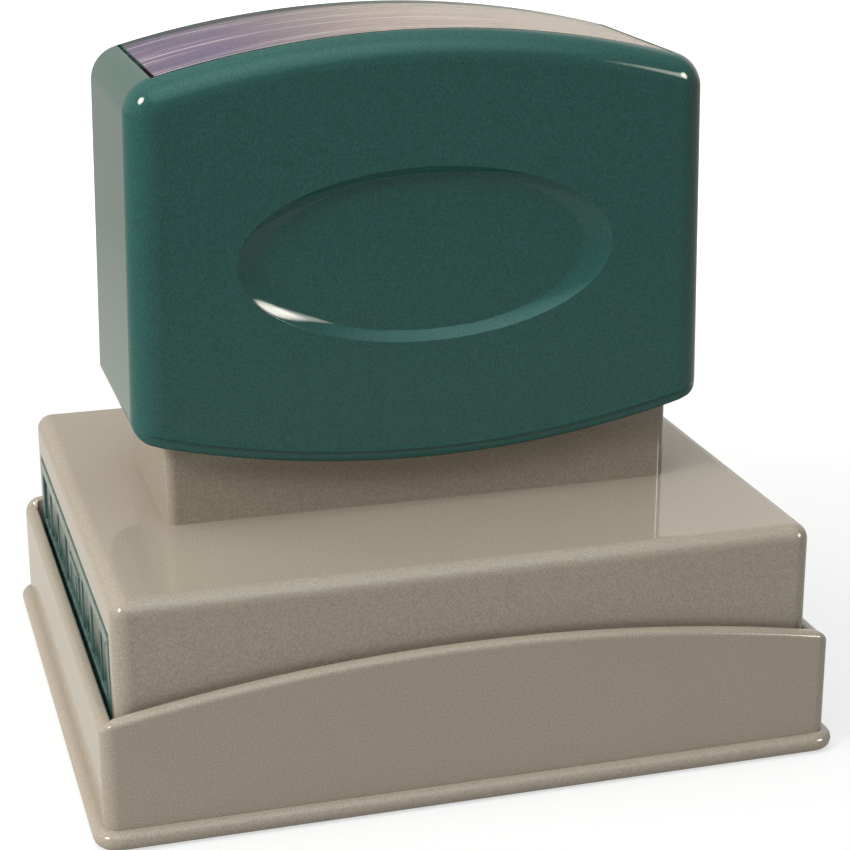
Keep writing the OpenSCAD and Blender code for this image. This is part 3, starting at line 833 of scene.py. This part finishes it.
def edge_profiles():
    """(inset, depth) from the grip's side to its face: on its round edge, and on its lower edge.

    The lower edge has a strip that is set back, and a fine ridge over it.
    """
    round_edge = quarter_round(GRIP_EDGE_R, GRIP_EDGE_STEPS)
    lower = [(inset, STRIP_STEP + drop) for inset, drop in quarter_round(STRIP_R, SMALL_STEPS)]
    lower += [(STRIP_H / 2, STRIP_STEP), (STRIP_H, STRIP_STEP), (STRIP_H + STRIP_RISE, 0.0)]
    for share in along(0.0, 1.0, RIDGE_POINTS):
        inset = STRIP_H + RIDGE_GAP + share * RIDGE_W
        lower.append((inset, -RIDGE_H * math.cos(share * math.pi / 2)))
    lower += [(inset, 0.0) for inset in along(lower[-1][0], GRIP_EDGE_R, FACE_POINTS)[1:]]
    return list(zip(round_edge, lower))


def oval_rings(bm, face_y):
    """Rings of the oval recess: a round lip, then a wall that bows a little, and more at the ends."""
    turn = circle(1, steps=OVAL_POINTS)

    def ring(inset_x, inset_z, depths):
        half_x = OVAL_HALF_X - inset_x
        half_z = OVAL_HALF_Z - inset_z
        return [bm.verts.new((half_x * px, face_y + depth, OVAL_Z + half_z * pz))
                for (px, pz), depth in zip(turn, depths)]

    lip = []
    for angle in along(0.0, OVAL_LIP_END, OVAL_LIP_POINTS):
        lip.append((OVAL_LIP * math.sin(angle), OVAL_LIP * (1 - math.cos(angle))))
    rings = [ring(inset, inset, [depth] * OVAL_POINTS) for inset, depth in lip]
    lip_inset, lip_depth = lip[-1]
    for share in along(0.0, 1.0, OVAL_WALL_POINTS)[1:]:
        inset_x = lip_inset + (OVAL_SLOPE_X - lip_inset) * share
        inset_z = lip_inset + (OVAL_SLOPE_Z - lip_inset) * share
        straight = (OVAL_DEPTH - lip_depth) * share
        bows = [(OVAL_BOW + (OVAL_END_BOW - OVAL_BOW) * px * px) * (1 - share) for px, _ in turn]
        rings.append(ring(inset_x, inset_z, [lip_depth + straight * (1 + bow) for bow in bows]))
    return rings


def grip_shell():
    """Grip with arched top and belly, round edges, oval recess, strip recess on top, and its hollow."""
    bm = bmesh.new()
    parts = grip_parts()
    lower = lower_shares(parts)
    count = len(parts)
    face_y = grip_high.y
    edge_y = face_y - GRIP_EDGE_R
    recess_y = cover_high.y + COVER_GAP
    edge = grip_outline(0.0)
    rim = grip_outline(arc_drop(GRIP_EDGE_R, recess_y - edge_y))

    def face_ring(round_step, strip_step, sign):
        """Ring over the edge of one face."""
        around = grip_outline(round_step[0])
        below = grip_outline(strip_step[0])
        ring = []
        for i, part in enumerate(parts):
            x, z = around[i]
            y = face_y - round_step[1]
            if part == "recess" and y < recess_y:
                x, z = rim[i]
                y = recess_y
            elif part in ("foot", "belly"):
                x += (below[i][0] - x) * lower[i]
                z += (below[i][1] - z) * lower[i]
                y = face_y - upright_drop(x, z) - strip_step[1] * lower[i]
            ring.append(bm.verts.new((x, sign * y, z)))
        return ring

    def side_ring(sign):
        """Ring at the inner end of one face's edge."""
        ring = []
        for i, part in enumerate(parts):
            x, z = rim[i] if part == "recess" else edge[i]
            y = recess_y if part == "recess" else edge_y + (GRIP_INNER_Y - edge_y) * lower[i]
            ring.append(bm.verts.new((x, sign * y, z)))
        return ring

    profiles = edge_profiles()
    front = [face_ring(a, b, -1) for a, b in reversed(profiles)] + [side_ring(-1)]
    back = [side_ring(1)] + [face_ring(a, b, 1) for a, b in profiles]
    join_all(bm, front)
    join_all(bm, back)

    # The strip's recess and the hollow are open between the two side rings
    recess = [i for i in range(count) if parts[i] == "recess"]
    belly_start = parts.index("belly") - 1
    belly = [(belly_start + i) % count for i in range(count - belly_start + 1)]
    open_at = set(recess[:-1]) | set(belly[:-1])
    join_rings(bm, front[-1], back[0], skip=open_at)

    def pocket(indices, places):
        """Walls and floor of an opening, whose floor lies at these (x, z) places."""
        mouth = [[ring[i] for i in indices] for ring in (front[-1], back[0])]
        base = [[bm.verts.new((x, v.co.y, z)) for v, (x, z) in zip(row, places)] for row in mouth]
        join_rings(bm, mouth[0], base[0], closed=False)
        join_rings(bm, base[0], base[1], closed=False)
        join_rings(bm, base[1], mouth[1], closed=False)
        for end in (0, -1):
            bm.faces.new((mouth[0][end], base[0][end], base[1][end], mouth[1][end]))

    floor_r = crown_r - COVER_SINK - COVER_T - LABEL_GAP - LABEL_T
    pocket(recess, [(edge[i][0], crown_height(floor_r, edge[i][0])) for i in recess])
    lean = 1 - (cover_high.z - grip_low.z) * math.tan(GRIP_DRAFT) / GRIP_FOOT_X
    ceiling_xs = [edge[i][0] * lean for i in belly]
    pocket(belly, [(x, crown_height(crown_r - GRIP_TOP_WALL, x)) for x in ceiling_xs])

    oval = oval_rings(bm, -face_y)
    join_all(bm, oval)
    fill(bm, front[0], oval[0])
    bm.faces.new(oval[-1])
    fill(bm, back[-1])
    piece("grip_shell", bm, "handle", "handle_shell", green)


def crown_strip(low_r, high_r, edge_r):
    """Mesh of a thin strip that follows the crown, with rounded edges."""
    bm = bmesh.new()
    half_x = cover_high.x + COVER_GAP - COVER_END_GAP
    half_y = cover_high.y + COVER_GAP - COVER_SIDE_GAP
    section = wall_steps(low_r, high_r, edge_r)
    ends = [(drop, half_x - inset) for inset, drop in quarter_round(edge_r, SMALL_STEPS)]
    stations = [(shrink, -x) for shrink, x in ends]
    stations += [(0.0, x) for x in along(-half_x, half_x, INDEX_POINTS)[1:-1]]
    stations += reversed(ends)
    rings = []
    for shrink, x in stations:
        ring = []
        for side, steps in ((1, section), (-1, reversed(section))):
            for inset, r in steps:
                r = min(max(r, low_r + shrink), high_r - shrink)
                y = side * (half_y - max(inset, shrink))
                ring.append(bm.verts.new((x, y, crown_height(r, x))))
        rings.append(ring)
    closed_skin(bm, rings)
    return bm


def index_strip():
    """Clear cover on the crown and the paper under it."""
    cover_r = crown_r - COVER_SINK
    label_r = cover_r - COVER_T - LABEL_GAP
    cover = crown_strip(cover_r - COVER_T, cover_r, COVER_EDGE_R)
    piece("index_window", cover, "cover", "index_cover", clear)
    label = crown_strip(label_r - LABEL_T, label_r, LABEL_EDGE_R)
    piece("index_paper", label, "handle", "index_label", paper)


def window_trim(bm, side):
    """Border, panel, ribs and catch on one end wall, as seen in that end's window."""
    root = -TRIM_ROOT
    border_out = PANEL_OUT + BORDER_OUT
    rib_out = PANEL_OUT + BORDER_OUT / 2
    middle = (BORDER_LOW_Z + BORDER_TOP_Z) / 2
    half_z = (BORDER_TOP_Z - BORDER_LOW_Z) / 2
    border = rect(BORDER_Y, half_z, BORDER_CORNER_R)
    opening = rect(BORDER_Y - BORDER_W, half_z - BORDER_W, BORDER_INNER_R)
    verts = slab(bm, border, root, border_out, SMALL_R, [opening])
    panel = rect(BORDER_Y - SMALL_R, half_z - SMALL_R, BORDER_CORNER_R)
    verts += slab(bm, panel, root, PANEL_OUT, PANEL_EDGE_R)
    for place in RIB_PLACES:
        rib = rect(RIB_W / 2, half_z - BORDER_W / 2, RIB_CORNER_R, place * RIB_STEP)
        verts += slab(bm, rib, root, rib_out, FINE_R)
    catch = rect(CATCH_HALF_Y, CATCH_HALF_Z, CATCH_CORNER_R)
    verts += slab(bm, catch, root, rib_out, CRISP_R)
    for sign in (-1, 1):
        dot = disc(CATCH_HALF_Z / 2, sign * CATCH_HALF_Y / 2)
        verts += slab(bm, dot, root, border_out, CATCH_DOT_EDGE_R)
    to_wall = Matrix(((0, 0, side, side * HOLDER_X), (side, 0, 0, 0), (0, 1, 0, middle), (0, 0, 0, 1)))
    bmesh.ops.transform(bm, matrix=to_wall, verts=verts)


def holder_pan():
    """Green pan: walls, plate with ribs and ink hole, and the trim in both windows."""
    bm = bmesh.new()
    half_x, half_y = HOLDER_X, holder_high.y

    def ring(inset, z):
        return flat_ring(bm, round_rect(half_x - inset, half_y - inset, HOLDER_CORNER_R), z)

    plate_top = PLATE_Z + PLATE_T
    walls = [ring(inset, z) for inset, z in wall_steps(holder_low.z, holder_high.z, SMALL_R)]
    walls += [ring(WALL, holder_high.z), ring(WALL, plate_top)]
    join_all(bm, walls)
    lower = [walls[0], ring(WALL, holder_low.z), ring(WALL, PLATE_Z)]
    join_all(bm, lower)
    hole = [flat_ring(bm, circle(INK_R), z) for z in (plate_top, PLATE_Z)]
    join_all(bm, hole)
    fill(bm, walls[-1], hole[0])
    fill(bm, lower[-1], hole[1])
    rib_half = WALL / 2
    for sign in (-1, 1):
        across = rect(rib_half, half_y - WALL, PLATE_RIB_CORNER_R, x=sign * PLATE_RIB_X)
        lengthwise = rect(half_x - WALL, rib_half, PLATE_RIB_CORNER_R, y=sign * PLATE_RIB_Y)
        for rib in (across, lengthwise):
            slab(bm, rib, plate_top - ROOT, plate_top + PLATE_RIB_H, CRISP_R)
        window_trim(bm, sign)
    piece("holder_pan", bm, "carriage", "die_holder", green_clear)


def stem_post():
    """Post and foot with the ink channel."""
    bm = bmesh.new()
    channel = [disc(INK_R)]
    foot_top = stem_low.z + STEM_FOOT_T
    foot = rect(stem_high.x, stem_high.y, STEM_FOOT_CORNER_R)
    slab(bm, foot, stem_low.z, foot_top, SMALL_R, channel)
    post = rect(STEM_X, STEM_Y, STEM_CORNER_R)
    slab(bm, post, foot_top, stem_high.z, FINE_R, channel)
    piece("stem_post", bm, "carriage", "stem", pale_plastic)


def yoke_plate():
    """Crosshead plate with its holes and a peg down into each spring."""
    bm = bmesh.new()
    plate_z = yoke_high.z - YOKE_T
    holes = [disc(INK_R)] + [disc(SCREW_R + FIT_GAP, x) for x in (-SCREW_X, SCREW_X)]
    plate = rect(yoke_high.x, yoke_high.y, YOKE_CORNER_R)
    slab(bm, plate, plate_z, yoke_high.z, YOKE_EDGE_R, holes)
    for x in (-SPRING_X, SPRING_X):
        slab(bm, disc(PEG_R, x), yoke_low.z, plate_z + YOKE_PEG_ROOT, YOKE_EDGE_R)
    piece("yoke_plate", bm, "carriage", "yoke", dark_plastic)


def yoke_screw(name, node, x):
    """Pan-head screw with a cross slot, and its threaded shank."""
    bm = bmesh.new()
    low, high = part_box(node)
    seat = yoke_high.z
    slot_floor = (seat + high.z) / 2
    head = disc(SCREW_HEAD_R)
    slot = cross(SLOT_ARM, SLOT_HALF_W)
    slab(bm, head, slot_floor - SHORT_ROOT, high.z, SCREW_HEAD_EDGE_R, [slot])
    slab(bm, head, seat, slot_floor, SCREW_SEAT_EDGE_R)
    thread = [(THREAD_TIP_R, low.z), (THREAD_END_R, low.z + THREAD_PITCH)]
    turns = int((seat - low.z) / THREAD_PITCH) - 2
    for i in range(turns):
        z = low.z + (i + 1.2) * THREAD_PITCH
        thread += [(THREAD_ROOT_R, z), (SCREW_R, z + 0.4 * THREAD_PITCH)]
        thread.append((THREAD_ROOT_R, z + 0.8 * THREAD_PITCH))
    lathe(bm, thread + [(THREAD_END_R, seat + SHORT_ROOT)])
    bmesh.ops.translate(bm, verts=bm.verts, vec=(x, 0, 0))
    piece(name, bm, "carriage", node, steel)


def stopper():
    """Rubber stopper with a dimpled head and a ribbed shank in the ink channel."""
    bm = bmesh.new()
    head_r = plug_high.x
    seat = plug_high.z - PLUG_HEAD_H
    rib_r = INK_R - FIT_GAP
    shank_r = rib_r - PLUG_RIB_OUT
    profile = [(PLUG_TIP * rib_r, plug_low.z), (shank_r, plug_low.z + PLUG_RIB_OUT)]
    for i in range(PLUG_RIBS):
        z = plug_low.z + PLUG_FIRST_RIB + i * PLUG_RIB_STEP
        profile += [(shank_r, z), (rib_r, z + PLUG_RIB_H / 2), (shank_r, z + PLUG_RIB_H)]
    profile += [(shank_r, seat), (head_r - PLUG_HEAD_BEVEL, seat), (head_r, seat + PLUG_HEAD_BEVEL)]
    for inset, drop in quarter_round(PLUG_HEAD_EDGE_R, RIM_STEPS):
        profile.append((head_r - inset, plug_high.z - drop))
    profile.append((PLUG_DIMPLE_RIM * head_r, plug_high.z))
    profile.append((PLUG_DIMPLE_FLOOR * head_r, plug_high.z - PLUG_DIMPLE))
    lathe(bm, profile)
    piece("ink_stopper", bm, "carriage", "ink_plug", black_rubber)


def felt_pad():
    """Felt pad, flat where it is held, with soft sides that draw in between its corners."""
    bm = bmesh.new()
    stops_x = along(-FELT_STOP_X, FELT_STOP_X, FELT_POINTS_X)
    stops_y = along(-FELT_STOP_Y, FELT_STOP_Y, FELT_POINTS_Y)
    rings = []
    for inset, z in wall_steps(felt_low.z, felt_high.z, FELT_EDGE_R, FILLET_STEPS):
        r = max(FELT_CORNER_R - inset, FELT_LEAST_R)
        ring = []
        for x, y in round_rect(felt_high.x - inset, felt_high.y - inset, r, stops_x, stops_y):
            to_corner = min(abs(x) / felt_high.x, abs(y) / felt_high.y)
            pull = Vector((x, y, 0)).normalized() * (FELT_DRAW_IN * math.cos(0.5 * math.pi * to_corner))
            ring.append(bm.verts.new((x - pull.x, y - pull.y, z)))
        rings.append(ring)
    closed_skin(bm, rings)
    pad = piece("felt_pad", bm, "carriage", "ink_felt", felt)


def printing_die():
    """Rubber plate with a raised border and plain bars."""
    bm = bmesh.new()
    plate = rect(die_high.x, die_high.y, DIE_CORNER_R)
    slab(bm, plate, DIE_EDGE_Z, die_high.z, CRISP_R)
    boss = rect(BOSS_X, BOSS_Y, DIE_CORNER_R)
    slab(bm, boss, DIE_BASE_Z, DIE_EDGE_Z + ROOT, FINE_R)
    root = DIE_BASE_Z + SHORT_ROOT
    inner = rect(BOSS_X - PRINT_BORDER, BOSS_Y - PRINT_BORDER, PRINT_INNER_R)
    slab(bm, boss, die_low.z, root, PRINT_EDGE_R, [inner])
    field_x = BOSS_X - PRINT_BORDER - PRINT_GAP
    field_y = BOSS_Y - PRINT_BORDER - PRINT_GAP
    row_step = 2 * field_y / PRINT_ROWS
    for i in range(PRINT_ROWS):
        half_x = field_x * (1 if i % 2 == 0 else SHORT_ROW)
        row_y = -field_y + (i + 0.5) * row_step
        row = rect(half_x, row_step / 4, PRINT_ROW_CORNER_R, y=row_y)
        slab(bm, row, die_low.z, root, PRINT_EDGE_R)
    piece("printing_die", bm, "carriage", "die", die_rubber)


def clamp_ring():
    """Ring that clamps the die's edge."""
    bm = bmesh.new()
    outer = rect(ring_high.x, ring_high.y, DIE_CORNER_R)
    opening = rect(BOSS_X + FIT_GAP, BOSS_Y + FIT_GAP, DIE_CORNER_R)
    slab(bm, outer, ring_low.z, ring_high.z, SMALL_R, [opening])
    piece("clamp_ring", bm, "carriage", "die_frame", dark_plastic)


def return_spring(name, node, x):
    """Coil of round wire with closer end turns."""
    bm = bmesh.new()
    low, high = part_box(node)
    steps = SPRING_TURNS * COIL_STEPS
    length = high.z - low.z - 2 * WIRE_R
    centres = []
    outs = []
    for i in range(steps + 1):
        share = i / steps
        angle = 2 * math.pi * SPRING_TURNS * share
        out = Vector((math.cos(angle), math.sin(angle), 0))
        rise = share - SPRING_END_CLOSE * math.sin(2 * math.pi * share)
        centres.append(Vector((x, 0, low.z + WIRE_R + length * rise)) + SPRING_R * out)
        outs.append(out)
    tube(bm, centres, outs, WIRE_R, WIRE_SIDES)
    spring = piece(name, bm, "casing", node, steel)
    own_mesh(spring)


dust_cap()
stamp_casing()
grip_shell()
index_strip()
holder_pan()
stem_post()
yoke_plate()
yoke_screw("screw_left", "yoke_screw_left", -SCREW_X)
yoke_screw("screw_right", "yoke_screw_right", SCREW_X)
stopper()
felt_pad()
printing_die()
clamp_ring()
return_spring("coil_left", "spring_left", -SPRING_X)
return_spring("coil_right", "spring_right", SPRING_X)

# The grip's ribbed core keeps its own shape
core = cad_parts["handle_core"]
core.data.materials.clear()
core.data.materials.append(green)

# Camera, fitted to the straight edges in the photograph
CAMERA_YAW = math.radians(-16.237)
CAMERA_PITCH = math.radians(18.538)
CAMERA_ROLL = math.radians(-0.131)
CAMERA_TARGET = Vector((3.956, 0.0, 32.95)) * MM
CAMERA_DISTANCE = 271.35 * MM
CAMERA_LENS = 90.96
CAMERA_SENSOR = 36.0
CAMERA_CLIP = 0.01

# Tints of the light
WARM = (1.0, 0.9, 0.79, 1.0)
SOFT_WARM = (1.0, 0.95, 0.84, 1.0)
SOFT_COOL = (0.94, 1.0, 0.97, 1.0)
SKY = (0.6, 1.0, 1.04, 1.0)

# Key lamp
KEY_PLACE = (-0.53, -0.2, 0.45)
KEY_AIM = (0, 0, 40 * MM)
KEY_WIDTH = 0.18
KEY_POWER = 1.8

# Floor; its levels, near and far, as the camera and as reflections see it
FLOOR_REACH = 1.5
FLOOR_SIDES = 96
FLOOR_SINK = 0.05 * MM
FLOOR_SPAN = (0.1, 0.28)
FLOOR_SEEN = (0.64, 1.0)
FLOOR_MIRROR = (0.12, 0.38)

# World: even light, and the share and level of what reflections see in its place
FILL_LEVEL = 0.11
MIRROR_SHARE = 0.85
MIRROR_LEVEL = 0.6

# Soft lights of the world: direction, cosine at the edge, level and tint
LIGHT_LOBES = [
    ((-0.1, -0.1, 0.99), 0.65, 2.9, SOFT_COOL),
    ((-1.0, 0.15, 0.25), 0.4, 1.85, SOFT_WARM),
]

# Lights seen only in reflections and clear pieces, in the same form
GLINTS = [
    ((-0.76, -0.28, 0.59), 0.977, 32.0, SOFT_WARM),
    ((0.7, -0.6, 0.4), 0.98, 26.0, SOFT_WARM),
    ((0.58, -0.71, 0.4), 0.989, 9.0, SOFT_WARM),
    ((0.7, 0.7, 0.3), 0.82, 0.5, WHITE),
    ((0.0, -0.52, 0.8), 0.8, 1.3, SKY),
]


def add_camera():
    """Camera at the photograph's viewing angle."""
    data = bpy.data.cameras.new("camera")
    data.sensor_width = CAMERA_SENSOR
    data.lens = CAMERA_LENS
    data.clip_start = CAMERA_CLIP
    level = math.cos(CAMERA_PITCH)
    back = Vector((math.sin(CAMERA_YAW) * level, -math.cos(CAMERA_YAW) * level, math.sin(CAMERA_PITCH)))
    right = Vector((math.cos(CAMERA_YAW), math.sin(CAMERA_YAW), 0))
    up = back.cross(right)
    tilted_right = right * math.cos(CAMERA_ROLL) + up * math.sin(CAMERA_ROLL)
    tilted_up = up * math.cos(CAMERA_ROLL) - right * math.sin(CAMERA_ROLL)
    made = bpy.data.objects.new("camera", data)
    bpy.context.scene.collection.objects.link(made)
    turn = Matrix((tilted_right, tilted_up, back)).transposed().to_4x4()
    made.matrix_world = Matrix.Translation(CAMERA_TARGET + back * CAMERA_DISTANCE) @ turn
    bpy.context.scene.camera = made


def add_key_lamp():
    """Soft round lamp on the left, whose reflection is left to the world's glints."""
    data = bpy.data.lights.new("key_left", "AREA")
    data.shape = "DISK"
    data.size = KEY_WIDTH
    data.energy = KEY_POWER
    made = bpy.data.objects.new("key_left", data)
    bpy.context.scene.collection.objects.link(made)
    made.visible_glossy = False
    made.location = KEY_PLACE
    made.rotation_euler = (Vector(KEY_AIM) - Vector(KEY_PLACE)).to_track_quat("-Z", "Y").to_euler()


def mirror_rays(owner):
    """1 for rays of reflections and clear pieces, 0 for all others."""
    path = add_node(owner, "ShaderNodeLightPath").outputs
    return arithmetic(owner, "MAXIMUM", path["Is Glossy Ray"], path["Is Transmission Ray"])


def camera_rays(owner):
    """1 for rays from the camera, 0 for all others."""
    return add_node(owner, "ShaderNodeLightPath").outputs["Is Camera Ray"]


def add_floor():
    """Pale floor that keeps the object's shadow and pales to white away from it."""
    bm = bmesh.new()
    bmesh.ops.create_circle(bm, cap_ends=True, segments=FLOOR_SIDES, radius=FLOOR_REACH)
    mesh = bpy.data.meshes.new("floor")
    bm.to_mesh(mesh)
    bm.free()
    floor = bpy.data.objects.new("floor", mesh)
    floor.location = (0, 0, -FLOOR_SINK)
    bpy.context.scene.collection.objects.link(floor)
    material = new_material("floor", {"Specular IOR Level": 0.0, "Roughness": 0.9})
    away = add_node(material, "ShaderNodeVectorMath", {"operation": "LENGTH"})
    link(material, own_place(material), away.inputs[0])
    distance = away.outputs["Value"]
    grain = noise(material, grain=4 * MM, detail=3)
    near = blend(material, grain, tone(198, 198, 198), tone(204, 204, 204))
    near = blend(material, mirror_rays(material), near, tone(170, 166, 160))
    lit = blend(material, spread(material, distance, FLOOR_SPAN), near, tone(84, 84, 84))
    feed(material, blend(material, camera_rays(material), lit, tone(140, 140, 140)), "Base Color")
    seen = spread(material, distance, FLOOR_SPAN, FLOOR_SEEN)
    seen = arithmetic(material, "MULTIPLY", camera_rays(material), seen)
    mirrored = spread(material, distance, FLOOR_SPAN, FLOOR_MIRROR)
    mirrored = arithmetic(material, "MULTIPLY", mirror_rays(material), mirrored)
    feed(material, arithmetic(material, "ADD", seen, mirrored), "Emission Strength")
    feed(material, blend(material, camera_rays(material), WARM, WHITE), "Emission Color")
    mesh.materials.append(material)


def soft_lobe(world, aim, edge):
    """Share of a soft light from one direction, which fades out to the cosine of its edge."""
    place = add_node(world, "ShaderNodeTexCoord")
    facing = add_node(world, "ShaderNodeVectorMath", {"operation": "DOT_PRODUCT"})
    facing.inputs[1].default_value = Vector(aim).normalized()
    link(world, place.outputs["Generated"], facing.inputs[0])
    return spread(world, facing.outputs["Value"], (edge, 1), ease="SMOOTHSTEP")


def add_world():
    """White for the camera, warm surroundings and glints for reflections, soft light for the rest."""
    world = bpy.data.worlds.new("surroundings")
    world.use_nodes = True
    light = shade(WHITE, FILL_LEVEL)
    for aim, edge, level, tint in LIGHT_LOBES:
        light = blend(world, soft_lobe(world, aim, edge), light, shade(tint, level), "ADD")
    share = spread(world, mirror_rays(world), (0, 1), (0, MIRROR_SHARE))
    shown = blend(world, share, light, shade(WARM, MIRROR_LEVEL))
    for aim, edge, level, tint in GLINTS:
        glint = arithmetic(world, "MULTIPLY", mirror_rays(world), soft_lobe(world, aim, edge))
        shown = blend(world, glint, shown, shade(tint, level), "ADD")
    shown = blend(world, camera_rays(world), shown, WHITE)
    background = world.node_tree.nodes["Background"]
    background.inputs["Strength"].default_value = 1.0
    link(world, shown, background.inputs["Color"])
    bpy.context.scene.world = world


add_camera()
add_key_lamp()
add_floor()
add_world()
bpy.context.scene.view_settings.view_transform = "Standard"
